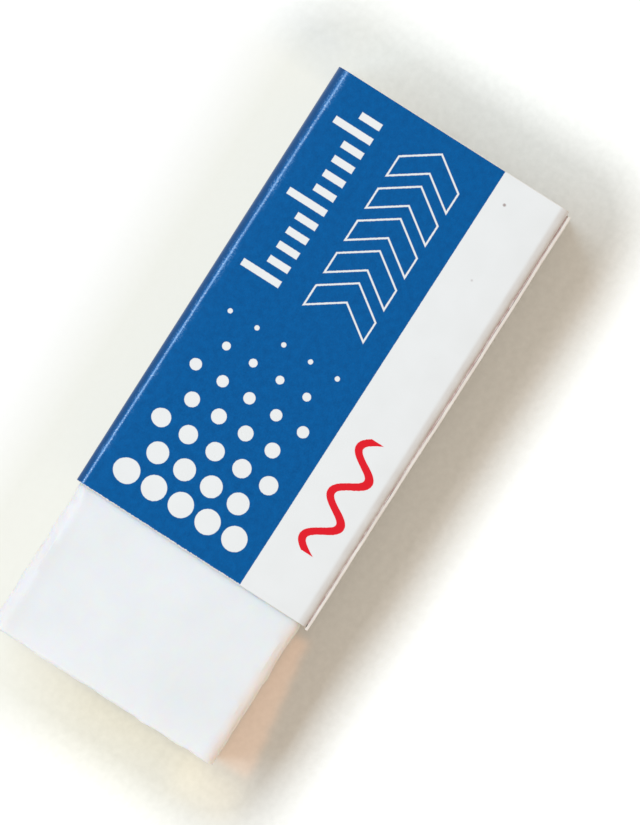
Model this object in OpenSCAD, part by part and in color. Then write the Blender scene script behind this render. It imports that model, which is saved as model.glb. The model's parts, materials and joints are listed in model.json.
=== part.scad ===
// Block eraser in a folded card sleeve.
//
// X runs along the block, with the bare rubber at -X and the sleeve's open
// rear end at +X. +Z is up. The card's glued lap is on the -Y side. The origin
// lies on the resting plane, under the middle of the block. Millimetres.

/* [Eraser block] */
// Length of the block
block_l = 60; // [46:1:90]
// Width of the block
block_w = 24; // [16:0.5:36]
// Thickness of the block
block_h = 12; // [8:0.5:20]
// Rounding along the four long edges
long_edge_r = 0.9; // [0.4:0.1:2.5]
// Rounding round the two cut ends
end_edge_r = 0.3; // [0.1:0.1:1.5]

/* [Sleeve] */
// Length of the sleeve
sleeve_l = 44.8; // [20:0.2:56]
// Thickness of the card
card_t = 0.32; // [0.2:0.02:0.6]
// Clearance between the block and each wall of the sleeve
slip_gap = 0.06; // [0.03:0.01:0.2]
// Outside radius of a fold
fold_r = 1.2; // [0.7:0.1:1.6]
// How far the sleeve's rear end reaches past the block
rear_tuck = 0.2; // [0:0.1:2]

/* [Glued lap] */
// Drop from the top panel to the free edge of the outer lap
lap_drop = 0.6; // [0.4:0.1:2]
// Height of the stretch at the free edge that isn't glued down
free_h = 3.5; // [1:0.5:4]
// How far the free edge springs off the flap under it
free_gap = 0.14; // [0.04:0.02:0.4]
// Gap from the bottom panel up to the edge of the under-flap
under_gap = 1.5; // [0.2:0.1:2]
// How far the free edge leans towards the mouth
lap_lean = 0.35; // [0.05:0.05:1]
// Distance from each end of the sleeve to the line of glue
glue_inset = 1.5; // [1.2:0.1:5]

/* [Hidden] */

ARC_FN = 96;
QUARTER = 90;

// Sleeve along X
rear_x = block_l / 2 + rear_tuck;
mouth_x = rear_x - sleeve_l;

// A fold is no rounder than the block's long edges leave room for
bend_r = min(fold_r, long_edge_r + slip_gap + card_t);

// Sleeve across Y: faces of the wall and of the lap's two layers
in_y = block_w / 2 + slip_gap;
out_y = in_y + card_t;
lap_y = out_y + card_t;

// Sleeve up Z
floor_z = card_t;
roof_z = floor_z + block_h + 2 * slip_gap;
sleeve_h = roof_z + card_t;
lap_z = sleeve_h - lap_drop;
glue_z = lap_z - free_h;
under_z = floor_z + under_gap;

block_z = floor_z + slip_gap + block_h / 2;

white_vinyl = [0.95, 0.96, 0.97];
blue_card = [0.03, 0.36, 0.61];

// Rectangle with its corners rounded, centred on the origin
module rounded_rect(size, r) {
    square([size.x - 2 * r, size.y], center = true);
    square([size.x, size.y - 2 * r], center = true);
    for (sx = [-1, 1], sy = [-1, 1])
        translate([sx * (size.x / 2 - r), sy * (size.y / 2 - r)])
            circle(r = r, $fn = ARC_FN);
}

// A bar with rounded long edges, cut to length, its cut ends slightly soft
module eraser_block() {
    color(white_vinyl)
        translate([0, 0, block_z])
            intersection() {
                rotate([90, 0, 90])
                    linear_extrude(block_l, center = true)
                        rounded_rect([block_w, block_h], long_edge_r);
                rotate([90, 0, 0])
                    linear_extrude(block_w, center = true)
                        rounded_rect([block_l, block_h], end_edge_r);
                linear_extrude(block_h, center = true)
                    rounded_rect([block_l, block_w], end_edge_r);
            }
}

// Flat stretch of card in the sleeve's section, from its low corner to its high one
module panel(low, high) {
    translate(low)
        square(high - low);
}

// Quarter turn of card in the sleeve's section, about centre
module fold(centre, turn) {
    translate(centre)
        rotate(turn)
            intersection() {
                difference() {
                    circle(r = bend_r, $fn = ARC_FN);
                    circle(r = bend_r - card_t, $fn = ARC_FN);
                }
                square(2 * bend_r);
            }
}

// The strip of card from the under-flap over the top, down the wall and along the
// bottom, to the fold from which the outer lap rises. Y is to the right, Z is up.
module strip_section() {
    panel([-out_y, under_z], [-in_y, sleeve_h - bend_r]);
    fold([bend_r - out_y, sleeve_h - bend_r], QUARTER);
    panel([bend_r - out_y, roof_z], [out_y - bend_r, sleeve_h]);
    fold([out_y - bend_r, sleeve_h - bend_r], 0);
    panel([in_y, bend_r], [out_y, sleeve_h - bend_r]);
    fold([out_y - bend_r, bend_r], 3 * QUARTER);
    panel([bend_r - lap_y, 0], [out_y - bend_r, floor_z]);
    fold([bend_r - lap_y, bend_r], 2 * QUARTER);
}

// The outer lap: flat against the under-flap up to glue_z, then springing off it
module lap_section() {
    panel([-lap_y, bend_r], [-out_y, glue_z]);
    polygon([
        [-lap_y, glue_z],
        [-out_y, glue_z],
        [-out_y - free_gap, lap_z],
        [-lap_y - free_gap, lap_z],
    ]);
}

// Side outline of the outer lap, which leans towards the mouth as it rises
module lap_outline() {
    polygon([
        [mouth_x, bend_r],
        [rear_x, bend_r],
        [rear_x - lap_lean, lap_z],
        [mouth_x - lap_lean, lap_z],
    ]);
}

module outer_lap() {
    intersection() {
        translate([mouth_x - lap_lean, 0, 0])
            rotate([90, 0, 90])
                linear_extrude(sleeve_l + lap_lean)
                    lap_section();
        rotate([90, 0, 0])
            linear_extrude(lap_y + free_gap + card_t)
                lap_outline();
    }
}

// Glue that makes the two layers of the lap one solid
module glue_line() {
    translate([mouth_x + glue_inset, -out_y - card_t / 2, under_z])
        cube([sleeve_l - 2 * glue_inset, card_t, glue_z - under_z]);
}

// One strip of card, folded into a tube and glued where its ends overlap
module sleeve() {
    color(blue_card)
        union() {
            translate([mouth_x, 0, 0])
                rotate([90, 0, 90])
                    linear_extrude(sleeve_l)
                        strip_section();
            outer_lap();
            glue_line();
        }
}

eraser_block();
sleeve();
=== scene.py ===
# %% [markdown]
# # A block eraser in a printed card sleeve
#
# The object has two parts. A bar of white vinyl rubber does the rubbing out, and a sleeve of thin
# printed card keeps the hands off it. The bar slides in the sleeve, so each part follows its own
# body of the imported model. That model comes in first, because it says where everything is.

# %% Load the frame
import json
import math

import bpy
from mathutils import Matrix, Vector

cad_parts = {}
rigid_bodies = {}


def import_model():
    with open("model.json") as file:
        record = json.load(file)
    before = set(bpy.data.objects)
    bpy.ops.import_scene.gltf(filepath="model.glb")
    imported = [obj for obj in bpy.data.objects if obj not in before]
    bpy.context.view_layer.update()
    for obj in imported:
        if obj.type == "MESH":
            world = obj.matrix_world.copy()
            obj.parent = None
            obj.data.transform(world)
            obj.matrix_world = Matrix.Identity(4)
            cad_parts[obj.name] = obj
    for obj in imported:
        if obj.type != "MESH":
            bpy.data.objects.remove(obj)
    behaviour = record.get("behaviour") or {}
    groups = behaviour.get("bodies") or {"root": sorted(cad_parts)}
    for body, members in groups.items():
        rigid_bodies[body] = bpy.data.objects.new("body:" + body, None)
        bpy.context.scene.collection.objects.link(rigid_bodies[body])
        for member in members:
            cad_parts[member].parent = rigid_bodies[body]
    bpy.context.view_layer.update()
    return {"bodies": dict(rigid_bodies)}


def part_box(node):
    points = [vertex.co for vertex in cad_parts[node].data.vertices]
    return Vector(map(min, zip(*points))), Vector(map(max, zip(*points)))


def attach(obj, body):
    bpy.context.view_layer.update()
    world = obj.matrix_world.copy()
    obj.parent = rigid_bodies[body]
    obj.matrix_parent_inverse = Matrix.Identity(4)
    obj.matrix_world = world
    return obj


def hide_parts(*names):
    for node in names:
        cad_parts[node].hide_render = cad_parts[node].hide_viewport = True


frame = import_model()

# %% [markdown]
# ## Sizes
#
# The two CAD nodes give the outer sizes. The card's thickness and the fold radius can't be read
# from a box, so they are named here with the values that the model was built with. MM turns
# millimetres into the scene's metres, HAIR is a distance too small to see, and QUARTER is a
# quarter turn. X runs along the block from its bare end to the rear, and Y across it, with the
# glued lap on the low side.

# %% Sizes from the frame
MM = 0.001
HAIR = 0.01 * MM
QUARTER = math.radians(90)
block_low, block_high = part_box("eraser_block")
sleeve_low, sleeve_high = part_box("sleeve")

CARD = 0.32 * MM
FOLD_R = 1.2 * MM
LAP_LEAN = 0.35 * MM
LAP_DROP = 0.6 * MM
FREE_HEIGHT = 3.5 * MM
UNDER_GAP = 1.5 * MM
LONG_EDGE_R = 0.9 * MM
END_EDGE_R = 0.3 * MM

rear_x = sleeve_high.x
mouth_x = sleeve_low.x + LAP_LEAN
top_z = sleeve_high.z
out_y = sleeve_high.y
lap_y = out_y + CARD
lap_z = top_z - LAP_DROP
under_z = CARD + UNDER_GAP
glue_z = lap_z - FREE_HEIGHT
spring = -lap_y - sleeve_low.y
print(f"sleeve from {mouth_x / MM:.1f} to {rear_x / MM:.1f} mm, {top_z / MM:.2f} mm high,",
      f"lap springs {spring / MM:.2f} mm")

# %% [markdown]
# ## Working by hand, in code
#
# An operator acts on whatever is selected. These helpers do what a hand does before each one:
# let go of everything, take one object, and pick its points, edges or faces by where they are.

# %% Helpers for selecting and cutting
def let_go():
    """Leaves edit mode, with nothing selected."""
    if bpy.context.mode != "OBJECT":
        bpy.ops.object.mode_set(mode="OBJECT")
    for other in list(bpy.context.selected_objects):
        other.select_set(False)


def take(piece):
    """Selects one object and nothing else."""
    let_go()
    piece.select_set(True)
    bpy.context.view_layer.objects.active = piece


def edit(piece, kind, flags):
    """Enters edit mode on a piece with the points, edges or faces selected that are flagged."""
    take(piece)
    mesh = piece.data
    groups = {"VERT": mesh.vertices, "EDGE": mesh.edges, "FACE": mesh.polygons}
    for group in groups.values():
        group.foreach_set("select", [False] * len(group))
    groups[kind].foreach_set("select", flags)
    bpy.context.tool_settings.mesh_select_mode = [kind == name for name in groups]
    bpy.ops.object.mode_set(mode="EDIT")


def pick_edges(piece, wanted):
    """Selects the edges whose two ends pass a test."""
    let_go()
    ends = ([piece.data.vertices[i].co for i in edge.vertices] for edge in piece.data.edges)
    edit(piece, "EDGE", [wanted(a, b) for a, b in ends])


def cut(place, normal):
    """Cuts the whole piece that is being edited along a plane, and keeps both sides."""
    bpy.ops.mesh.select_all(action="SELECT")
    bpy.ops.mesh.bisect(plane_co=place, plane_no=normal)


def steps(low, high, spacing):
    """Evenly spaced places between two ends, at about that spacing, without the ends."""
    count = max(1, round((high - low) / spacing))
    return [low + (high - low) * i / count for i in range(1, count)]


def clamp(share):
    """Keeps a share between nothing and one."""
    return min(max(share, 0), 1)


def size_of(piece):
    """The size of a piece in millimetres."""
    return [round(side / MM, 2) for side in piece.dimensions]


# %% [markdown]
# ## The rubber block
#
# Vinyl rubber is rolled out in a sheet, cured, and cut into bars, so the bar's long edges are
# soft and its two cut ends are crisper. It starts as a cube of the bar's size. The four long
# edges are rounded first and the ends second, so that the small rounding runs round the corners
# of the large one.

# %% The bar and its edges
LONG_EDGE_FIELDS = 8
END_EDGE_FIELDS = 4

let_go()
bpy.ops.mesh.primitive_cube_add(
    size=1, location=(block_low + block_high) / 2, scale=block_high - block_low
)
block = bpy.context.object
block.name = "rubber_block"
bpy.ops.object.transform_apply(location=True, rotation=True, scale=True)


def on_corner(point):
    """True where a point lies on both a side and the top or bottom of the bar."""
    side = min(abs(point.y - block_low.y), abs(point.y - block_high.y))
    flat = min(abs(point.z - block_low.z), abs(point.z - block_high.z))
    return max(side, flat) < HAIR


pick_edges(block, lambda a, b: on_corner(a) and on_corner(b) and abs(a.x - b.x) > HAIR)
bpy.ops.mesh.bevel(offset=LONG_EDGE_R, segments=LONG_EDGE_FIELDS, affect="EDGES")
for end_x in (block_low.x, block_high.x):
    pick_edges(block, lambda a, b: max(abs(a.x - end_x), abs(b.x - end_x)) < HAIR)
    bpy.ops.mesh.bevel(offset=END_EDGE_R, segments=END_EDGE_FIELDS, affect="EDGES")
block.update_from_editmode()
print(f"bar: {len(block.data.vertices)} points")

# %% [markdown]
# A cut end is never quite flat. The blade drags the rubber, so the middle of each end lies a few
# hundredths of a millimetre deeper than its rim. Rubbing out has also pressed the bare part out
# of shape: its front end stands a little further out, and so does the top of its side next to the
# lap. Its end and its sides are worn, while its broad faces only have a soft unevenness. A face
# needs a net of points before it can be uneven at all, so the bar is first cut into small fields.

# %% The ends and the faces of the bar
FIELD = 1.5 * MM
END_DISH = 0.05 * MM
SPRUNG = 0.16 * MM
SPRUNG_REACH, SPRUNG_FADE = 3 * MM, 2 * MM
SIDE_SPREAD = 0.14 * MM
SPREAD_REACH, SPREAD_FADE, SPREAD_START = 2.4 * MM, 1.6 * MM, 1 * MM
SURFACE_WAVE, SURFACE_SIZE = 0.03 * MM, 5 * MM
EDGE_WEAR, WEAR_SIZE, WEAR_LEVEL = 0.3 * MM, 1.6 * MM, 0.7
SMOOTH_ANGLE = math.radians(30)

for x in steps(block_low.x + END_EDGE_R, block_high.x - END_EDGE_R, FIELD / 2):
    cut((x, 0, 0), (1, 0, 0))
for y in steps(block_low.y + LONG_EDGE_R, block_high.y - LONG_EDGE_R, FIELD / 2):
    cut((0, y, 0), (0, 1, 0))
for z in steps(block_low.z + LONG_EDGE_R, block_high.z - LONG_EDGE_R, FIELD):
    cut((0, 0, z), (0, 0, 1))
let_go()


def hollow(place, low, high):
    """One in the middle between two ends, falling smoothly to nothing at both."""
    return math.sin(math.pi * clamp((place - low) / (high - low))) ** 2


for point in block.data.vertices:
    co = point.co
    if min(abs(co.x - block_low.x), abs(co.x - block_high.x)) < HAIR:
        depth = hollow(co.y, block_low.y, block_high.y) * hollow(co.z, block_low.z, block_high.z)
        co.x -= math.copysign(END_DISH * depth, co.x)
    near_end = clamp((block_low.x + SPRUNG_REACH - co.x) / SPRUNG_FADE)
    co.x -= SPRUNG * near_end
    near_side = clamp((block_low.y + 2 * LONG_EDGE_R - co.y) / LONG_EDGE_R)
    near_top = clamp((co.z - block_high.z + SPREAD_REACH) / SPREAD_FADE)
    bare_part = clamp((mouth_x - co.x) / SPREAD_START)
    co.y -= SIDE_SPREAD * near_side * near_top * bare_part


def unevenness(piece, height, size, where="", level=1.0):
    """Gives a piece, or one group of its points, soft dents. Below level one some stand out."""
    clouds = bpy.data.textures.new("soft unevenness", "CLOUDS")
    clouds.noise_scale = size
    clouds.noise_depth = 1
    waves = piece.modifiers.new("unevenness", "DISPLACE")
    waves.texture = clouds
    waves.texture_coords = "LOCAL"
    waves.strength = height
    waves.mid_level = level
    waves.vertex_group = where
    take(piece)
    bpy.ops.object.modifier_apply(modifier=waves.name)


def is_worn(point):
    """True for a point outside the sleeve, on the end, the narrow sides or the rounded edges."""
    return point.x < mouth_x - FIELD and min(point.z - block_low.z, block_high.z - point.z) > HAIR


worn = block.vertex_groups.new(name="worn sides")
worn.add([v.index for v in block.data.vertices if is_worn(v.co)], 1, "REPLACE")
unevenness(block, SURFACE_WAVE, SURFACE_SIZE)
unevenness(block, EDGE_WEAR, WEAR_SIZE, worn.name, WEAR_LEVEL)
block.vertex_groups.clear()
bpy.ops.object.shade_smooth_by_angle(angle=SMOOTH_ANGLE)
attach(block, "block")
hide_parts("eraser_block")
print(f"bar: {len(block.data.polygons)} faces, {size_of(block)} mm")

# %% [markdown]
# ## The card blank
#
# A sleeve is die-cut flat, printed on one side, creased and folded round into a tube. It is made
# the same way here: a flat strip lies where the top panel ends up, and everything beyond each
# crease is turned down a quarter. Each crease is a narrow band of eight fields, because card
# bends over a small radius and doesn't snap. The knife left the blank a few hundredths of a
# millimetre longer at the mouth than the model is. Every point's place on the flat strip is written
# down before the first fold. The later steps find the creases and panels by it, and the print
# follows the card round every fold.

# %% Lay out the strip
OVERCUT = 0.04 * MM
PANEL_FIELD, LAP_FIELD, LENGTH_FIELD = 2 * MM, 0.7 * MM, 1.2 * MM
BEND_FIELDS = 8
BEND_STEP = 2 * FOLD_R * math.sin(QUARTER / (2 * BEND_FIELDS))
BEND = BEND_FIELDS * BEND_STEP

top_half = out_y - FOLD_R
wall_start = top_half + BEND
wall_end = wall_start + top_z - 2 * FOLD_R
base_start = wall_end + BEND
base_end = base_start + out_y + lap_y - 2 * FOLD_R
lap_start = base_end + BEND
lap_end = lap_start + lap_z - FOLD_R
flap_start = -top_half - BEND
flap_end = flap_start - (top_z - FOLD_R - under_z)

cut_x = mouth_x - OVERCUT
let_go()
bpy.ops.mesh.primitive_plane_add(
    size=1, location=((cut_x + rear_x) / 2, (flap_end + lap_end) / 2, top_z)
)
sleeve = bpy.context.object
sleeve.name = "card_sleeve"
sleeve.scale = (rear_x - cut_x, lap_end - flap_end, 1)
bpy.ops.object.transform_apply(location=True, rotation=True, scale=True)

bpy.ops.object.mode_set(mode="EDIT")
bends = {top_half: 1, wall_end: 1, base_end: 1, flap_start: -1}
for start in bends:
    for i in range(BEND_FIELDS + 1):
        cut((0, start + i * BEND_STEP, top_z), (0, 1, 0))
flats = [
    (flap_end, flap_start, PANEL_FIELD),
    (-top_half, top_half, PANEL_FIELD),
    (wall_start, wall_end, PANEL_FIELD),
    (base_start, base_end, PANEL_FIELD),
    (lap_start, lap_end, LAP_FIELD),
]
for low, high, spacing in flats:
    for y in steps(low, high, spacing):
        cut((0, y, top_z), (0, 1, 0))
for x in steps(mouth_x, rear_x, LENGTH_FIELD):
    cut((x, 0, top_z), (1, 0, 0))
let_go()

card_map = sleeve.data.uv_layers[0]
card_map.name = "card"
for loop in sleeve.data.loops:
    place = sleeve.data.vertices[loop.vertex_index].co
    card_map.data[loop.index].uv = (place.x / MM, place.y / MM)
strip = sleeve.data.attributes.new("strip", "FLOAT", "POINT")
strip.data.foreach_set("value", [v.co.y for v in sleeve.data.vertices])
print(f"blank: {(rear_x - mouth_x) / MM:.1f} by {(lap_end - flap_end) / MM:.1f} mm,",
      f"{len(sleeve.data.polygons)} fields")

# %% [markdown]
# ## Folding it round
#
# The folds are made from the outside in. Then every crease still lies in the flat strip when its
# turn comes, so its place is known without any sums. The first and the last line of a crease turn
# half as far as the lines between them, which keeps the panels exactly square to each other.

# %% Fold the strip
def turn_down(line, angle, side):
    """Turns everything beyond a line of the strip, on that side of it, down about the line."""
    let_go()
    marks = sleeve.data.attributes["strip"].data
    edit(sleeve, "VERT", [side * (mark.value - line) > HAIR for mark in marks])
    bpy.ops.transform.rotate(value=side * angle, orient_axis="X", center_override=(0, line, top_z))


for start, side in sorted(bends.items(), key=lambda bend: -abs(bend[0])):
    lines = [start + i * BEND_STEP for i in range(BEND_FIELDS + 1)]
    for line in sorted(lines, reverse=side > 0):
        share = 0.5 if line in (lines[0], lines[-1]) else 1
        turn_down(line, QUARTER / BEND_FIELDS * share, side)
let_go()
print("folded:", size_of(sleeve), "mm")

# %% [markdown]
# ## What glue and hands do to it
#
# A real sleeve isn't a perfect box. The outer lap was glued on a little askew, so it leans towards
# the mouth as it rises. Above the glue its free edge waves and springs off the flap, by LOOSE
# times the model's gap, and by LOOSER times more at the rear. The crease opposite the lap was
# pressed last. It is tight at the mouth and loosens towards the rear, and the wall below it
# bulges. The crease on the lap's side is tight all along, and the glued lap pulls it outwards. The
# top panel sags by a few hundredths of a millimetre, most of all at the mouth, which is less than
# the room it has to the rubber. There its end is also splayed out and cut askew, and all of the
# card has a slight wave in it. No operator gives these drifts, so small formulas move the points.

# %% Let the card relax
GLUE_FILM = 0.02 * MM
LOOSE, LOOSER = 1.27, 0.45
LOOSER_FROM, LOOSER_TO = 14 * MM, 24 * MM
LAP_CURL = 1.5
SAG, SAG_SHAPE = 0.02 * MM, 0.5
DROOP, DROOP_LENGTH = 0.03 * MM, 4 * MM
BULGE, BULGE_START = 0.07 * MM, 0.2
CREASE_DRIFT = 0.17 * MM
PRESSED = 0.19 * MM
PULLED = 0.14 * MM
TIGHTER = 0.28 * MM
SPLAYED = 0.08 * MM
ASKEW = 0.0055
SHEET_WAVE, SHEET_WAVE_SIZE = 0.02 * MM, 7 * MM
LAP_WAVE, LAP_WAVE_SIZE, LAP_WAVE_REACH, LAP_WAVE_LEVEL = 0.08 * MM, 2.2 * MM, 1.5 * MM, 0.5


def ramp(place, low, high):
    """Rises smoothly from nothing to one between two places."""
    share = clamp((place - low) / (high - low))
    return share * share * (3 - 2 * share)


def lap_gap(x, z):
    """How far the outer lap stands off the flap under it."""
    loose = spring * (LOOSE + LOOSER * ramp(x, mouth_x + LOOSER_FROM, mouth_x + LOOSER_TO))
    free = clamp((z - glue_z) / (lap_z - glue_z))
    return GLUE_FILM * ramp(z, FOLD_R, 3 * FOLD_R) + (loose - GLUE_FILM) * free ** LAP_CURL


def wall_bulge(share):
    """How far the wall opposite the lap bulges, from its top at nothing to its foot at one."""
    return BULGE * math.sin(math.pi * (BULGE_START + (1 - BULGE_START) * share))


def change_fold(co, growth, side):
    """Moves a point of a top crease to where it lies when the fold's radius grows by that much."""
    co.y += side * growth * ((side * co.y - top_half) / FOLD_R - 1)
    co.z += growth * ((co.z - top_z + FOLD_R) / FOLD_R - 1)


for point, mark in zip(sleeve.data.vertices, sleeve.data.attributes["strip"].data):
    place, co = mark.value, point.co
    rearward = (co.x - mouth_x) / (rear_x - mouth_x)
    if co.x < mouth_x and flap_start - HAIR < place < wall_start + HAIR:
        co.x -= SPLAYED - ASKEW * place
    if place > lap_start - HAIR:
        co.y -= lap_gap(co.x, co.z)
        co.x -= LAP_LEAN * (co.z - FOLD_R) / (lap_z - FOLD_R)
    elif top_half - HAIR < place < wall_start + HAIR:
        change_fold(co, CREASE_DRIFT * (2 * rearward - 1) - PRESSED, 1)
        co.y += wall_bulge(0) * ramp(place, top_half, wall_start)
    elif flap_start - HAIR < place < -top_half + HAIR:
        change_fold(co, -TIGHTER, -1)
        co.y -= PULLED * ramp(-place, top_half, -flap_start)
    elif place < flap_start:
        co.y -= PULLED * ramp(co.z, glue_z, lap_z)
    elif abs(place) < top_half:
        droop = DROOP * (1 - ramp(co.x, mouth_x, mouth_x + DROOP_LENGTH))
        co.z -= (SAG + droop) * math.cos(math.pi * place / (2 * top_half)) ** SAG_SHAPE
    elif wall_start < place < wall_end:
        co.y += wall_bulge((place - wall_start) / (wall_end - wall_start))
unevenness(sleeve, SHEET_WAVE, SHEET_WAVE_SIZE)
free_edge = sleeve.vertex_groups.new(name="free edge")
marks = sleeve.data.attributes["strip"].data
in_reach = [i for i, mark in enumerate(marks) if mark.value > lap_end - LAP_WAVE_REACH]
free_edge.add(in_reach, 1, "REPLACE")
unevenness(sleeve, LAP_WAVE, LAP_WAVE_SIZE, free_edge.name, LAP_WAVE_LEVEL)
sleeve.vertex_groups.clear()
print(f"lap leans {LAP_LEAN / MM:.2f} mm and springs {lap_gap(rear_x, lap_z) / MM:.2f} mm at the rear")

# %% [markdown]
# The sheet gets its thickness last, inwards from the printed side. Towards the lap's free edge the
# card is crushed a fifth thinner. The new inner side and the cut rims take a second material, the
# bare board. The rims are then broken by a very small bevel, because a knife leaves card with a
# slightly crushed edge where the ink is gone.

# %% Give the card its thickness
CRUSHED = 0.03 * MM
CRUSHED_FIELDS = 3
RIM_ANGLE = math.radians(60)
THINNED = 0.2
THINNED_HEIGHT = 1.4 * MM
BARE = 1

thickness = sleeve.vertex_groups.new(name="thickness")
for i, mark in enumerate(sleeve.data.attributes["strip"].data):
    pressed = clamp((mark.value - lap_end) / THINNED_HEIGHT + 1)
    thickness.add([i], 1 - THINNED * pressed, "REPLACE")
sleeve.data.attributes.remove(sleeve.data.attributes["strip"])
for name in ("printed card", "bare board"):
    sleeve.data.materials.append(bpy.data.materials.new(name))

wall = sleeve.modifiers.new("thickness", "SOLIDIFY")
wall.thickness = CARD
wall.offset = -1
wall.use_even_offset = True
wall.vertex_group = thickness.name
wall.material_offset = BARE
wall.material_offset_rim = BARE
rim = sleeve.modifiers.new("rim", "BEVEL")
rim.width = CRUSHED
rim.segments = CRUSHED_FIELDS
rim.limit_method = "ANGLE"
rim.angle_limit = RIM_ANGLE
rim.material = BARE
take(sleeve)
for modifier in (wall.name, rim.name):
    bpy.ops.object.modifier_apply(modifier=modifier)
sleeve.vertex_groups.clear()
bpy.ops.object.shade_smooth_by_angle(angle=SMOOTH_ANGLE)
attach(sleeve, "sleeve")
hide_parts("sleeve")
print(f"sleeve: {len(sleeve.data.polygons)} faces, {size_of(sleeve)} mm")

# %% [markdown]
# ## The bead of glue
#
# Where the free edge springs off, a bead of dried glue shows at the bottom of the gap. It is thin,
# but without it the gap would be a black line. It starts as a bar that bites a little into both
# layers, and is cut into short lengths. Then each length follows the lap. The bead's top is
# hollow and ripples, and it sinks towards the rear.

# %% Run the bead
BEAD_HEIGHT = 1 * MM
BEAD_DEPTH = 0.09 * MM
BITE = 0.03 * MM
BEAD_FIELD = 0.8 * MM
FROM_MOUTH, FROM_REAR = 0.15 * MM, 0.43 * MM
SUNK, SUNK_FADE = 0.2 * MM, 6 * MM
RIPPLE, RIPPLE_TURN = 0.03 * MM, 1.7
MENISCUS = 0.03 * MM
BEAD_ANGLE = math.radians(50)

bead_ends = (mouth_x + FROM_MOUTH, rear_x - FROM_REAR)
let_go()
bpy.ops.mesh.primitive_cube_add(
    size=1,
    location=(sum(bead_ends) / 2, -out_y, lap_z - BEAD_DEPTH - BEAD_HEIGHT / 2),
    scale=(bead_ends[1] - bead_ends[0], 2 * BITE, BEAD_HEIGHT),
)
bead = bpy.context.object
bead.name = "glue_bead"
bpy.ops.object.transform_apply(location=True, rotation=True, scale=True)
bpy.ops.object.mode_set(mode="EDIT")
for x in steps(*bead_ends, BEAD_FIELD):
    cut((x, 0, 0), (1, 0, 0))
cut((0, -out_y, 0), (0, 1, 0))
let_go()
for point in bead.data.vertices:
    co = point.co
    share = (BITE - co.y - out_y) / (2 * BITE)
    co.y = -out_y + BITE - share * (2 * BITE + lap_gap(co.x, co.z))
    if co.z > lap_z - BEAD_DEPTH - HAIR:
        sunk = SUNK * math.exp((co.x - rear_x) / SUNK_FADE)
        sunk += RIPPLE * math.sin(co.x / MM * RIPPLE_TURN)
        co.z -= sunk + MENISCUS * math.sin(math.pi * share)
take(bead)
bpy.ops.object.shade_smooth_by_angle(angle=BEAD_ANGLE)
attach(bead, "sleeve")
print(f"bead: {len(bead.data.polygons)} faces")

# %% [markdown]
# ## A small algebra for shaders
#
# A printed pattern is a formula: how far is this spot inside a dot, a bar or a line? Shader nodes
# can work that out, but a formula of thirty Math nodes is hard to read. So a term stands for the
# output of a node, and adding or multiplying two terms makes the node that does it. A Mix node
# has sockets for every kind of value, so UNDER, OVER and MIXED say which of them are the colours.

# %% Terms and masks
PRINT_SOFT = 0.05
UNDER, OVER, MIXED = 6, 7, 2


def feed(socket, value):
    """Gives a socket another node's output, or a plain value."""
    if isinstance(value, Term):
        socket.id_data.links.new(value.socket, socket)
    else:
        socket.default_value = value


def calc(operation, *values):
    """A Math node at work on terms and plain numbers."""
    tree = next(v.socket.id_data for v in values if isinstance(v, Term))
    node = tree.nodes.new("ShaderNodeMath")
    node.operation = operation
    for socket, value in zip(node.inputs, values):
        feed(socket, value)
    return Term(node.outputs[0])


class Term:
    """A value that a shader works out at each spot of a surface."""

    def __init__(self, socket):
        self.socket = socket

    def __add__(self, other):
        return calc("ADD", self, other)

    def __sub__(self, other):
        return calc("SUBTRACT", self, other)

    def __rsub__(self, other):
        return calc("SUBTRACT", other, self)

    def __mul__(self, other):
        return calc("MULTIPLY", self, other)

    def __truediv__(self, other):
        return calc("DIVIDE", self, other)

    def __abs__(self):
        return calc("ABSOLUTE", self)


def least(*values):
    """The smallest of several terms."""
    lowest = values[0]
    for value in values[1:]:
        lowest = calc("MINIMUM", lowest, value)
    return lowest


def most(*values):
    """The largest of several terms."""
    highest = values[0]
    for value in values[1:]:
        highest = calc("MAXIMUM", highest, value)
    return highest


def apart(du, dv):
    """The straight distance between two spots, from how far apart they are each way."""
    return calc("SQRT", du * du + dv * dv)


def within(depth, soft=PRINT_SOFT):
    """One where a spot lies inside a shape, by its depth there, with a soft edge of some width."""
    share = calc("ADD", depth / soft, 0.5)
    share.socket.node.use_clamp = True
    return share


def split(vector):
    """The three terms that a vector is made of."""
    node = vector.socket.id_data.nodes.new("ShaderNodeSeparateXYZ")
    feed(node.inputs[0], vector)
    return [Term(output) for output in node.outputs]


def object_places(tree):
    """Where a spot is on its own object, in metres."""
    return Term(tree.nodes.new("ShaderNodeTexCoord").outputs["Object"])


def add_noise(vector, scale, detail=2.0):
    """A cloudy value between nothing and one."""
    node = vector.socket.id_data.nodes.new("ShaderNodeTexNoise")
    feed(node.inputs["Vector"], vector)
    node.inputs["Scale"].default_value = scale
    node.inputs["Detail"].default_value = detail
    return Term(node.outputs["Fac"])


def halfway(one, other):
    """The middle between two terms."""
    return one * 0.5 + other * 0.5


def spread(value, low, high, new_low=0.0, new_high=1.0):
    """Stretches the part of a value between two levels over a new range."""
    node = value.socket.id_data.nodes.new("ShaderNodeMapRange")
    names = ("Value", "From Min", "From Max", "To Min", "To Max")
    for name, number in zip(names, (value, low, high, new_low, new_high)):
        feed(node.inputs[name], number)
    return Term(node.outputs["Result"])


def tint(under, over, share):
    """Lays one colour over another, by a share."""
    node = share.socket.id_data.nodes.new("ShaderNodeMix")
    node.data_type = "RGBA"
    feed(node.inputs["Factor"], share)
    feed(node.inputs[UNDER], under)
    feed(node.inputs[OVER], over)
    return Term(node.outputs[MIXED])


def add_bump(height, distance):
    """A bump from a height term, as deep as the distance."""
    node = height.socket.id_data.nodes.new("ShaderNodeBump")
    node.inputs["Distance"].default_value = distance
    feed(node.inputs["Height"], height)
    return Term(node.outputs["Normal"])


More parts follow.
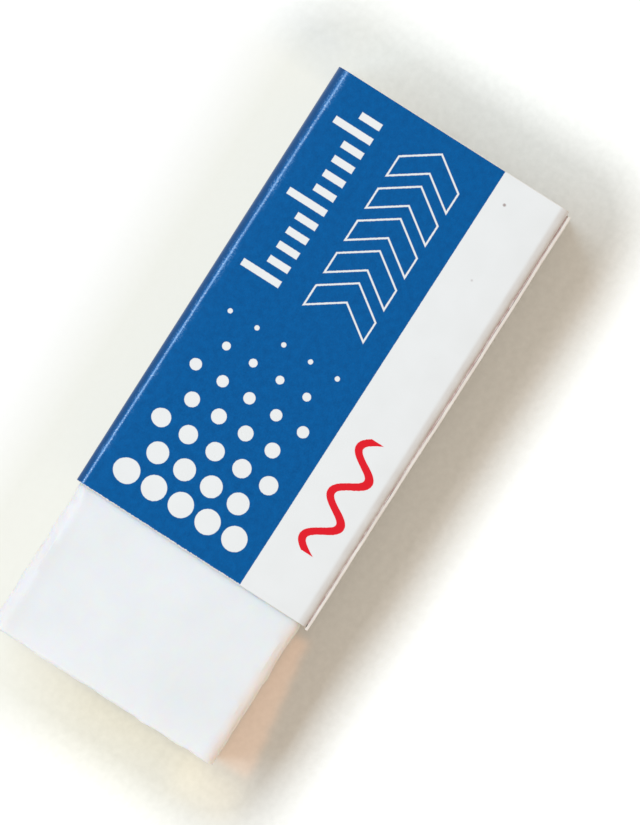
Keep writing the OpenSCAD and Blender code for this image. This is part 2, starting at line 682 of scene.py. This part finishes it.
def open_material(piece, name):
    """The node tree and the main shader of a piece's material, which is made if it is missing."""
    material = bpy.data.materials.get(name)
    if material is None:
        material = bpy.data.materials.new(name)
        piece.data.materials.append(material)
    material.use_nodes = True
    return material.node_tree, material.node_tree.nodes["Principled BSDF"]


print("terms, masks and materials are ready")

# %% [markdown]
# ## The printed design
#
# The design is a plain stationery pattern: a blue field with a white stripe beside the lap, a
# field of dots that shrink away from the mouth, a tick scale, a row of open arrows, and one red
# wave on the white stripe. Each is a formula of two places in millimetres: u along the sleeve, and
# v across it from the middle of the top panel. A formula gives one inside its shape.

# %% Print formulas
DOT_COLUMNS, DOT_ROWS = 7, 5
DOT_PITCH = 2.9
DOT_START, DOT_LOW = -12.9, -4.2
DOT_RADIUS, DOT_SHRINK = 1.2, 0.16

TICK_START, TICK_COUNT, TICK_PITCH = 9.6, 12, 1.55
TICK_LOW, TICK_SHORT, TICK_LONG, TICK_WIDTH = 6.3, 2.2, 4.0, 0.7
TICKS_TO_A_LONG_ONE = 5.0

ARROW_START, ARROW_COUNT, ARROW_PITCH = 11.6, 5, 3.5
ARROW_MID, ARROW_HALF, ARROW_WIDTH, ARROW_SLOPE = 0.3, 3.3, 2.3, 0.7
OUTLINE = 0.17

WAVE_START, WAVE_LENGTH, WAVE_PERIOD = -9.0, 12.0, 4.8
WAVE_MID, WAVE_SWING, WAVE_THICK, WAVE_SWELL = -9.0, 1.15, 0.5, 0.12


def cell(place, start, pitch):
    """Which cell of a row a spot is in, and where it is in that cell from the middle."""
    share = (place - start) / pitch
    number = calc("FLOOR", share)
    return number, (share - number - 0.5) * pitch


def counted(number, first, count):
    """One where a cell number is at least the first one and below the count."""
    return calc("GREATER_THAN", number, first - 0.5) * calc("LESS_THAN", number, count - 0.5)


def dots(u, v):
    """Dots that shrink from column to column, with every other column half a row lower."""
    column, du = cell(u, DOT_START, DOT_PITCH)
    odd = calc("FLOORED_MODULO", column, 2.0)
    row, dv = cell(v + odd * (DOT_PITCH / 2), DOT_LOW, DOT_PITCH)
    depth = DOT_RADIUS - column * DOT_SHRINK - apart(du, dv)
    return within(depth) * counted(column, 0, DOT_COLUMNS) * counted(row, odd, DOT_ROWS)


def ticks(u, v):
    """A scale of short bars, in which every fifth is long."""
    column, du = cell(u, TICK_START, TICK_PITCH)
    long_one = calc("LESS_THAN", calc("FLOORED_MODULO", column, TICKS_TO_A_LONG_ONE), 0.5)
    top = long_one * (TICK_LONG - TICK_SHORT) + (TICK_LOW + TICK_SHORT)
    depth = least(TICK_WIDTH / 2 - abs(du), v - TICK_LOW, top - v)
    return within(depth) * counted(column, 0, TICK_COUNT)


def arrows(u, v):
    """A row of bent bars, of which only the outlines are left."""
    out = abs(v - ARROW_MID)
    number, du = cell(u + out * ARROW_SLOPE, ARROW_START, ARROW_PITCH)
    lean = math.hypot(1, ARROW_SLOPE)
    depth = least((ARROW_WIDTH / 2 - abs(du)) / lean, ARROW_HALF - out)
    return (within(depth) - within(depth - OUTLINE)) * counted(number, 0, ARROW_COUNT)


def wave(u, v):
    """A waving line, deeper where it is steep, so that it looks about as thick all along."""
    turn = (u - WAVE_START) * (2 * math.pi / WAVE_PERIOD)
    middle = calc("SINE", turn) * WAVE_SWING + WAVE_MID
    thick = calc("COSINE", turn * 2.0) * WAVE_SWELL + WAVE_THICK
    return within(least(thick - abs(v - middle), u - WAVE_START, WAVE_START + WAVE_LENGTH - u))


print("formulas for dots, ticks, arrows and wave")

# %% [markdown]
# ## Printed card
#
# Coated board is white and smooth, with a thin varnish. Offset ink lies on it as a film, so its
# edges bleed by a few hundredths of a millimetre and a solid field is faintly mottled. The press
# sheet sat about a third of a degree askew, and the whole print with it. Both broad panels carry
# the same design, so the place across is folded back over the wall between them. Here and below, a
# name such as PAPER_CLOUDS gives the two levels between which a noise counts, and after them, if
# need be, the two values that they stand for.

# %% The printed side
STRIPE = -5.43
PRESS_SKEW = 0.0051
BLEED, BLEED_SCALE = 0.06, 5.0
PAPER_SCALE, SOLID_SCALE, BLOTCH_SCALE = 0.35, 1.6, 6.0
PAPER_CLOUDS = (0.35, 0.75, 0, 0.5)
INK_CLOUDS = (0.35, 0.65)
WHITE = (0.84, 0.85, 0.845, 1)
WHITE_AGED = (0.80, 0.81, 0.80, 1)
BLUE = (0.0, 0.117, 0.370, 1)
BLUE_DEEP = (0.0, 0.088, 0.288, 1)
RED = (0.78, 0.012, 0.024, 1)

tree, shader = open_material(sleeve, "printed card")
card_node = tree.nodes.new("ShaderNodeUVMap")
card_node.uv_map = "card"
card = Term(card_node.outputs["UV"])
along, across = split(card)[:2]

bleed = (add_noise(card, BLEED_SCALE, detail=3.0) - 0.5) * BLEED
u = along + bleed
skewed = across + along * PRESS_SKEW + bleed
v = least(skewed, (top_half + base_start) / MM - skewed)

paper = add_noise(card, PAPER_SCALE)
solid = add_noise(card, SOLID_SCALE, detail=4.0)
blotches = add_noise(card, BLOTCH_SCALE, detail=4.0)
board_white = tint(WHITE, WHITE_AGED, spread(paper, *PAPER_CLOUDS))
blue_ink = tint(BLUE, BLUE_DEEP, spread(halfway(solid, blotches), *INK_CLOUDS))
pattern = most(dots(u, v), ticks(u, v), arrows(u, v))
colour = tint(board_white, blue_ink, within(v - STRIPE) * (1 - pattern))
colour = tint(colour, RED, wave(u, v))
print(f"print: {len(tree.nodes)} nodes")

# %% [markdown]
# ## Wear and specks
#
# Where the card is creased the ink stretches thin and rubs off first. Along the ridge of the blue
# crease it is rubbed to a light blue, and that light line is also a painted highlight, laid where
# the soft box's reflection falls and brighter towards the mouth. It is scuffed on both sides of
# that, and nicked down to the board here and there, most of all near the mouth. Just past the
# ridge the blue is darkened with painted shade, where the crease turns down. These are small
# things, but a flat blue without them looks like paint.

# %% The rubbed crease, with painted highlight and painted shade
BLUE_PAINTED_SHADE = (0.0, 0.055, 0.18, 1)
BLUE_RUBBED_AND_HIGHLIGHT = (0.15, 0.36, 0.70, 1)
NICKED = (0.60, 0.73, 0.90, 1)
PATCH_SCALE = 0.5
BLUE_SOFT = 0.3
RIDGE_FROM_CREASE = 0.33
FOLD_SHADE_FROM, FOLD_SHADE_TO, FOLD_SHADE_SOFT, FOLD_SHADE_SHARE = 0.25, 0.2, 0.3, 0.8
RIDGE_HALF, RIDGE_SOFT = 0.1, 0.12
RIDGE_CLOUDS = (0.38, 0.58, 0.4, 0.95)
RIDGE_AT_MOUTH, RIDGE_AT_REAR = 1.1, 0.75
SCUFF_HALF, SCUFF_SOFT = 0.35, 0.4
SCUFF_PATCHES = (0.45, 0.6, 0, 0.5)
SCUFF_CLOUDS = (0.45, 0.6)
NICK_HALF, NICK_SOFT = 0.15, 0.2
NICK_CLOUDS = (0.56, 0.66)
NICKS_FADE, NICKS_LEFT = 12, 0.55

patches = add_noise(card, PATCH_SCALE, detail=3.0)
blue_here = within(v - STRIPE, BLUE_SOFT)
past_ridge = across - (top_half / MM + RIDGE_FROM_CREASE)
off_ridge = abs(past_ridge)


def band(half, soft):
    """One close to the ridge of the blue crease, up to half a width on both sides of it."""
    return within(half - off_ridge, soft)


# Painted shade: the blue just past the ridge of the crease is darkened where the crease turns down.
fold_shade = least(past_ridge - FOLD_SHADE_FROM, wall_start / MM + FOLD_SHADE_TO - across)
colour = tint(colour, BLUE_PAINTED_SHADE, within(fold_shade, FOLD_SHADE_SOFT) * blue_here * FOLD_SHADE_SHARE)
# Rubbed ink and painted highlight: a light line on the ridge, where the soft box's reflection falls.
rubbed_and_highlight = band(RIDGE_HALF, RIDGE_SOFT) * spread(halfway(blotches, patches), *RIDGE_CLOUDS)
rubbed_and_highlight = rubbed_and_highlight * spread(along, mouth_x / MM, rear_x / MM, RIDGE_AT_MOUTH, RIDGE_AT_REAR)
scuffed = band(SCUFF_HALF, SCUFF_SOFT) * spread(patches, *SCUFF_PATCHES)
scuffed = scuffed * spread(blotches, *SCUFF_CLOUDS)
colour = tint(colour, BLUE_RUBBED_AND_HIGHLIGHT, most(rubbed_and_highlight, scuffed) * blue_here)
nicked = band(NICK_HALF, NICK_SOFT) * spread(blotches, *NICK_CLOUDS)
nicked = nicked * spread(along, mouth_x / MM, mouth_x / MM + NICKS_FADE, 1, NICKS_LEFT)
colour = tint(colour, NICKED, nicked * blue_here)
print(f"print and crease: {len(tree.nodes)} nodes")

# %% [markdown]
# The crease above the lap is darkened a warm brown, partly a little grease from fingers and partly
# painted shade in the crease. The glue has stained the card under the lap. Along the cuts the ink
# chips, and at the mouth it is gone in a thin line. Two specks of dust are stuck on the white
# stripe. Each speck is given by its two places, its radius and how dark it is.

# %% Grease and painted shade, glue stain, chipped cuts and specks
GREASE_AND_SHADE = (0.42, 0.31, 0.24, 1)
GREASE_SHADE_LINE, GREASE_SHADE_HALF, GREASE_SHADE_SOFT, GREASE_SHADE_SHARE = 0.55, 0.35, 0.5, 0.36
VEIL_WIDTH, VEIL_SOFT, VEIL_SHARE = 1.55, 0.3, 0.2
GREASE_SHADE_PATCHES = (0.35, 0.65, 0.5, 1)
GLUE_STAIN = (0.42, 0.24, 0.19, 1)
STAIN_FROM, STAIN_SOFT, STAIN_SHARE = 0.2, 0.3, 0.8
CHIP_SIZE = 0.2
SPARED_AT_CUTS, SPARED_AT_MOUTH = 0.12, 0.03
DUST = (0.30, 0.22, 0.20, 1)
SPECKS = [(27.55, -7.14, 0.14, 0.8), (20.14, -8.32, 0.1, 0.35)]
SPECK_SOFT = 0.12

# Grease and painted shade: a warm brown line along the crease above the lap, and a veil over its first
# millimetre and a half.
up_crease = across - flap_start / MM
greased_and_shaded = within(GREASE_SHADE_HALF - abs(up_crease - GREASE_SHADE_LINE), GREASE_SHADE_SOFT) * GREASE_SHADE_SHARE
grease_and_shade_veil = within(VEIL_WIDTH - up_crease, VEIL_SOFT) * VEIL_SHARE
colour = tint(colour, GREASE_AND_SHADE, most(greased_and_shaded, grease_and_shade_veil) * spread(patches, *GREASE_SHADE_PATCHES))
under_lap = within(flap_start / MM - across - STAIN_FROM, STAIN_SOFT)
colour = tint(colour, GLUE_STAIN, under_lap * STAIN_SHARE)

from_mouth = along - cut_x / MM
from_cut = least(from_mouth, rear_x / MM - along)
for depth, spared in ((from_cut, SPARED_AT_CUTS), (from_mouth, SPARED_AT_MOUTH)):
    colour = tint(colour, WHITE, within(blotches * CHIP_SIZE - spared - depth))
for speck_u, speck_v, radius, strength in SPECKS:
    depth = radius - apart(along - speck_u, across - speck_v)
    colour = tint(colour, DUST, within(depth, SPECK_SOFT) * strength)
print(f"print and wear: {len(tree.nodes)} nodes")

# %% [markdown]
# The varnish is smooth, with only a trace of the board's grain and of the ink's mottle in it. It
# reflects about half as much as glass does, so the ink keeps its depth.

# %% The varnish
GRAIN_SCALE = 9.0
VARNISH_ROUGHNESS = (0.3, 0.7, 0.19, 0.25)
VARNISH_SHINE = 0.25
VARNISH_RELIEF = 0.004 * MM
GRAIN_SHARE, MOTTLE_SHARE = 0.6, 0.4

grain = add_noise(card, GRAIN_SCALE, detail=3.0)
feed(shader.inputs["Base Color"], colour)
feed(shader.inputs["Roughness"], spread(grain, *VARNISH_ROUGHNESS))
shader.inputs["Specular IOR Level"].default_value = VARNISH_SHINE
relief = grain * GRAIN_SHARE + solid * MOTTLE_SHARE
feed(shader.inputs["Normal"], add_bump(relief, VARNISH_RELIEF))
print(f"printed card: {len(tree.nodes)} nodes")

# %% [markdown]
# ## Bare board
#
# Inside and along the cuts the board shows its pulp: cream, dull and fibrous, in thin layers. It
# reads the object's own places, because the rims have no room of their own on the card's map.

# %% The bare side
FIBRE_STRETCH = (1, 4, 4)
FIBRE_SCALE, PULP_SCALE = 700.0, 300.0
CREAM = (0.86, 0.80, 0.73, 1)
CREAM_DARK = (0.77, 0.69, 0.61, 1)
PULP_BROWN = (0.70, 0.61, 0.53, 1)
FIBRE_CLOUDS = (0.35, 0.7)
PULP_CLOUDS = (0.4, 0.8, 0, 0.5)
BOARD_ROUGHNESS = (0.3, 0.7, 0.8, 0.95)
BOARD_RELIEF = 0.02 * MM

tree, shader = open_material(sleeve, "bare board")
here = object_places(tree)
stretch = tree.nodes.new("ShaderNodeMapping")
stretch.inputs["Scale"].default_value = FIBRE_STRETCH
feed(stretch.inputs["Vector"], here)
fibres = add_noise(Term(stretch.outputs["Vector"]), FIBRE_SCALE, detail=5.0)
pulp = add_noise(here, PULP_SCALE)
cream = tint(CREAM, CREAM_DARK, spread(fibres, *FIBRE_CLOUDS))
feed(shader.inputs["Base Color"], tint(cream, PULP_BROWN, spread(pulp, *PULP_CLOUDS)))
feed(shader.inputs["Roughness"], spread(fibres, *BOARD_ROUGHNESS))
feed(shader.inputs["Normal"], add_bump(fibres, BOARD_RELIEF))
print(f"bare board: {len(tree.nodes)} nodes")

# %% [markdown]
# ## Dried glue
#
# Paper glue dries to a brownish, slightly glossy skin with small ripples.

# %% The glue
RIPPLE_SCALE = 1800.0
GLUE_LIGHT = (0.72, 0.60, 0.55, 1)
GLUE_DARK = (0.54, 0.36, 0.32, 1)
GLUE_CLOUDS = (0.35, 0.65)
GLUE_ROUGHNESS = (0.3, 0.7, 0.35, 0.5)
GLUE_RELIEF = 0.02 * MM

tree, shader = open_material(bead, "dried glue")
ripples = add_noise(object_places(tree), RIPPLE_SCALE, detail=3.0)
feed(shader.inputs["Base Color"], tint(GLUE_LIGHT, GLUE_DARK, spread(ripples, *GLUE_CLOUDS)))
feed(shader.inputs["Roughness"], spread(ripples, *GLUE_ROUGHNESS))
feed(shader.inputs["Normal"], add_bump(ripples, GLUE_RELIEF))
print(f"dried glue: {len(tree.nodes)} nodes")

# %% [markdown]
# ## White vinyl
#
# Soft vinyl is full of white filler, but light still creeps a millimetre or so into it, red
# furthest. Subsurface scattering does this, and warms the edge turned away from the light a little.
# The colour adds more: a painted warm glow on that edge, and painted shade on the edge under the
# light, a little greyer where it turns down. The skin is satin, with faint dimples all over and
# fine blade marks on the two cut ends.

# %% The rubber
CLOUD_SCALE, DIMPLE_SCALE, STRAY_SCALE = 120.0, 2500.0, 200.0
VINYL_LIGHT = (0.86, 0.875, 0.885, 1)
VINYL_DARK = (0.82, 0.835, 0.84, 1)
VINYL_CLOUDS = (0.35, 0.7)
PAINTED_SHADE_GREY = (0.775, 0.765, 0.77, 1)
PAINTED_GLOW_WARM = (0.86, 0.78, 0.72, 1)
GREY_FROM, GREY_TO = 3 * MM, 0.6 * MM
WARM_FROM, WARM_TO, WARM_AT_FOOT = 1.25 * MM, 0.2 * MM, 0.2
VINYL_ROUGHNESS = (0.3, 0.7, 0.42, 0.5)
CREEP, CREEP_BY_COLOUR = 1.3 * MM, (1.0, 0.7, 0.5)
CUT_FACE_DEPTH = 0.1 * MM
BLADE_PITCH, BLADE_SHARE = 0.6 * MM, 0.3
VINYL_RELIEF = 0.012 * MM

tree, shader = open_material(block, "white vinyl")
here = object_places(tree)
x, y, z = split(here)
cloud = add_noise(here, CLOUD_SCALE)
dimples = add_noise(here, DIMPLE_SCALE, detail=3.0)
vinyl = tint(VINYL_LIGHT, VINYL_DARK, spread(cloud, *VINYL_CLOUDS))
# Painted shade greys the rounded edge under the light, and a painted warm glow tints the edge turned
# away from it, less towards its foot.
painted_shade_edge = spread(y, block_high.y - GREY_FROM, block_high.y - GREY_TO)
painted_glow_edge = spread(y, block_low.y + WARM_FROM, block_low.y + WARM_TO)
painted_glow_edge = painted_glow_edge * spread(z, block_low.z, block_high.z, WARM_AT_FOOT, 1)
vinyl = tint(vinyl, PAINTED_SHADE_GREY, painted_shade_edge * painted_shade_edge)
vinyl = tint(vinyl, PAINTED_GLOW_WARM, painted_glow_edge)
feed(shader.inputs["Base Color"], vinyl)
feed(shader.inputs["Roughness"], spread(cloud, *VINYL_ROUGHNESS))
shader.inputs["Subsurface Weight"].default_value = 1.0
shader.inputs["Subsurface Radius"].default_value = CREEP_BY_COLOUR
shader.inputs["Subsurface Scale"].default_value = CREEP

cut_face = within(abs(x) - block_high.x + CUT_FACE_DEPTH, CUT_FACE_DEPTH)
stray = add_noise(here, STRAY_SCALE) * MM
blade = calc("SINE", (y + stray) * (2 * math.pi / BLADE_PITCH))
relief = halfway(dimples, cloud) + blade * cut_face * BLADE_SHARE
feed(shader.inputs["Normal"], add_bump(relief, VINYL_RELIEF))
print(f"white vinyl: {len(tree.nodes)} nodes")

# %% [markdown]
# ## The table
#
# The eraser is finished, and what follows only shows it. It lies on a table of pale paper with a
# faint grain. Close to the eraser the paper takes every shadow, and further off the camera sees it
# brighten to plain white. On the side that faces the lamp the camera sees painted light there, a
# faintly cream glow, as if the paper were nearly burnt out. Only the camera sees these two effects,
# by itself or in something shiny or clear. The light that falls back on the eraser is that of the
# plain paper.

# %% The table
TABLE_SIZE = 3
FADE_FROM, FADE_TO = 4.5 * MM, 11 * MM
GONE_FROM, GONE_TO = 60 * MM, 120 * MM
FAR_BOOST = 0.42
LIT_SIDE, LIT_REAR, LIT_FADE = 0.8, 0.3, 2 * MM
TABLE_GRAIN_SCALE = 1500.0
TABLE_CLOUDS = (0.3, 0.7)
TABLE_DARK = (0.755, 0.76, 0.72, 1)
TABLE_LIGHT = (0.805, 0.81, 0.77, 1)
TABLE_ROUGHNESS, TABLE_SHINE = 0.9, 0.1
PURE_WHITE = (1, 1, 1, 1)
CREAM_WHITE = (0.94, 0.94, 0.86, 1)


def seen_rays(tree):
    """One for what the camera sees, itself or by way of gloss or glass."""
    rays = tree.nodes.new("ShaderNodeLightPath")
    names = ("Is Camera Ray", "Is Glossy Ray", "Is Transmission Ray")
    return most(*(Term(rays.outputs[name]) for name in names))


let_go()
bpy.ops.mesh.primitive_plane_add(size=TABLE_SIZE, location=(0, 0, -HAIR))
table = bpy.context.object
table.name = "table"
tree, shader = open_material(table, "pale table")
here = object_places(tree)
x, y = split(here)[:2]
away = apart(most(abs(x) - rear_x, 0.0), most(abs(y) - out_y, 0.0))
far = spread(away, FADE_FROM, FADE_TO)
gone = spread(away, GONE_FROM, GONE_TO)
# Painted light: a faint cream glow on the table's side towards the lamp, weaker past the rear.
lit = spread(y, 0, out_y, 0, LIT_SIDE) * spread(x, rear_x - LIT_FADE, rear_x + LIT_FADE, 1, LIT_REAR)
seen = seen_rays(tree)

grain = add_noise(here, TABLE_GRAIN_SCALE, detail=4.0)
feed(shader.inputs["Base Color"], tint(TABLE_DARK, TABLE_LIGHT, spread(grain, *TABLE_CLOUDS)))
shader.inputs["Roughness"].default_value = TABLE_ROUGHNESS
shader.inputs["Specular IOR Level"].default_value = TABLE_SHINE
shader.inputs["Emission Color"].default_value = PURE_WHITE
feed(shader.inputs["Emission Strength"], far * seen * FAR_BOOST)

white = tree.nodes.new("ShaderNodeEmission")
feed(white.inputs["Color"], tint(CREAM_WHITE, PURE_WHITE, far))
fade = tree.nodes.new("ShaderNodeMixShader")
feed(fade.inputs[0], most(gone, lit) * seen)
tree.links.new(shader.outputs[0], fade.inputs[1])
tree.links.new(white.outputs[0], fade.inputs[2])
tree.links.new(fade.outputs[0], tree.nodes["Material Output"].inputs["Surface"])
print("table fades to white from", FADE_FROM / MM, "to", FADE_TO / MM, "mm")

# %% [markdown]
# ## The light
#
# One long soft box hangs over the side opposite the lap, two thirds of the way up the sky, and
# turns its face to the eraser. Its shadow falls out past the lap, dark at the eraser and soft
# further off. It is faintly blue, and the room around it faintly warm, so together they light
# white as white and leave the shadow warm.

# %% The soft box
BOX_DISTANCE, BOX_ELEVATION = 0.5, math.radians(60)
BOX_SIZE = (0.47, 0.15)
BOX_WATTS = 1.70
BOX_COLOUR = (0.62, 0.82, 1.0)


def add_lamp(place, turn, size, watts, colour):
    """A rectangular lamp that shines down, unless it is turned."""
    bpy.ops.object.light_add(type="AREA", location=place, rotation=turn)
    lamp = bpy.context.object
    lamp.data.shape = "RECTANGLE"
    lamp.data.size, lamp.data.size_y = size
    lamp.data.energy = watts
    lamp.data.color = colour
    return lamp


box_place = (0, BOX_DISTANCE * math.cos(BOX_ELEVATION), BOX_DISTANCE * math.sin(BOX_ELEVATION))
add_lamp(box_place, (BOX_ELEVATION - QUARTER, 0, 0), BOX_SIZE, BOX_WATTS, BOX_COLOUR)
print(f"soft box {BOX_SIZE[0]} by {BOX_SIZE[1]} m, {BOX_DISTANCE} m away")

# %% [markdown]
# ## The glow of the rubber
#
# Light also gets right through the bare rubber and comes out on its shaded side, where it warms
# the table. That takes far more bounces than a render has time for, so weak warm lamps stand in
# for it. A lamp nearly as large as the front end shines outwards from it. A second one lies off
# the front corner next to the lap. A row of small ones runs beside the rubber on the lap's side,
# and lights the table just under them, in a strip that widens away from the mouth. They all belong
# to the block's body and move with it, and only what they light shows that they are there.

# %% Lamps for the glow
END_GAP, END_SIZE, END_WATTS = 0.35 * MM, (11 * MM, 22 * MM), 0.0004
END_COLOUR = (1.0, 0.72, 0.12)
CORNER_OUT, CORNER_ASIDE, CORNER_HEIGHT = 2.6 * MM, 1 * MM, 2.5 * MM
CORNER_SIZE, CORNER_WATTS = (4.5 * MM, 6.5 * MM), 0.0000175
CORNER_COLOUR = (1.0, 0.77, 0.36)
CORNER_BEAM = math.radians(100)
POOLS = 6
POOL_START, POOL_GAP, POOL_HEIGHT = 1.6 * MM, 0.1 * MM, 1.5 * MM
POOL_WIDTH, POOL_WIDENING = 1.3 * MM, 0.16
POOL_WATTS_BY_AREA = 0.7
POOL_COLOUR = (1.0, 0.38, 0.12)
POOL_BEAM = math.radians(60)
NO_TURN = (0, 0, 0)


def glow(place, turn, size, watts, colour, beam=math.pi):
    """A weak warm lamp beside the rubber, seen by nothing but what it lights."""
    lamp = add_lamp(place, turn, size, watts, colour)
    lamp.data.spread = beam
    lamp.visible_camera = False
    lamp.visible_glossy = False
    lamp.visible_transmission = False
    lamp.parent = frame["bodies"]["block"]


middle_z = (block_low.z + block_high.z) / 2
end_place = (block_low.x - END_GAP, 0, middle_z)
glow(end_place, (0, QUARTER, 0), END_SIZE, END_WATTS, END_COLOUR)
corner_place = (block_low.x - CORNER_OUT, block_low.y - CORNER_ASIDE, CORNER_HEIGHT)
glow(corner_place, NO_TURN, CORNER_SIZE, CORNER_WATTS, CORNER_COLOUR, CORNER_BEAM)

pool_length = (mouth_x - block_low.x - POOL_START) / POOLS
for i in range(POOLS):
    out = POOL_START + pool_length * (i + 0.5)
    width = POOL_WIDTH + out * POOL_WIDENING
    place = (mouth_x - out, block_low.y - POOL_GAP - width / 2, POOL_HEIGHT)
    watts = POOL_WATTS_BY_AREA * width * pool_length
    glow(place, NO_TURN, (pool_length, width), watts, POOL_COLOUR, POOL_BEAM)
print(f"glow: {POOLS + 2} lamps on the block's body")

# %% [markdown]
# ## The room
#
# Around the table is a white room. The camera and everything shiny see it white, apart from a dark
# patch right overhead, where the camera hangs, so that the varnish doesn't veil the ink. All other
# light from the room is warm and even. That split only holds if the room isn't sampled as a lamp,
# so its sampling is off and the bounced light finds it by itself.

# %% The room
ROOM_COLOUR = (0.70, 0.605, 0.52, 1)
OVERHEAD_DARK = (0.02, 0.02, 0.02, 1)
OVERHEAD_FROM, OVERHEAD_TO = 0.5, 0.75

world = bpy.data.worlds.new("white room")
bpy.context.scene.world = world
world.use_nodes = True
world.cycles.sampling_method = "NONE"
tree = world.node_tree
sky = Term(tree.nodes.new("ShaderNodeTexCoord").outputs["Generated"])
overhead = spread(split(sky)[2], OVERHEAD_FROM, OVERHEAD_TO)
backdrop = tint(PURE_WHITE, OVERHEAD_DARK, overhead)
feed(tree.nodes["Background"].inputs["Color"], tint(ROOM_COLOUR, backdrop, seen_rays(tree)))
print("room:", world.name)

# %% [markdown]
# ## The camera
#
# The camera looks straight down through a very long lens, which keeps the eraser's sides parallel
# and hides its walls. It is rolled, so that the eraser lies aslant with its bare end low on the
# left. Its distance follows from the height of the view at the top panel.

# %% The camera
LENS, SENSOR = 300, 36
VIEW_HEIGHT = 75.4 * MM
AIM = Vector((2.51 * MM, -3.09 * MM, top_z))
ROLL = math.radians(-57.55)
CLIP_START, CLIP_END = 0.01, 10

distance = VIEW_HEIGHT * LENS / SENSOR
bpy.ops.object.camera_add(location=AIM + Vector((0, 0, distance)), rotation=(0, 0, ROLL))
camera = bpy.context.object
camera.data.lens = LENS
camera.data.clip_start = CLIP_START
camera.data.clip_end = CLIP_END
bpy.context.scene.camera = camera
bpy.context.scene.view_settings.view_transform = "Standard"
let_go()
print(f"camera {distance:.3f} m above the top panel")
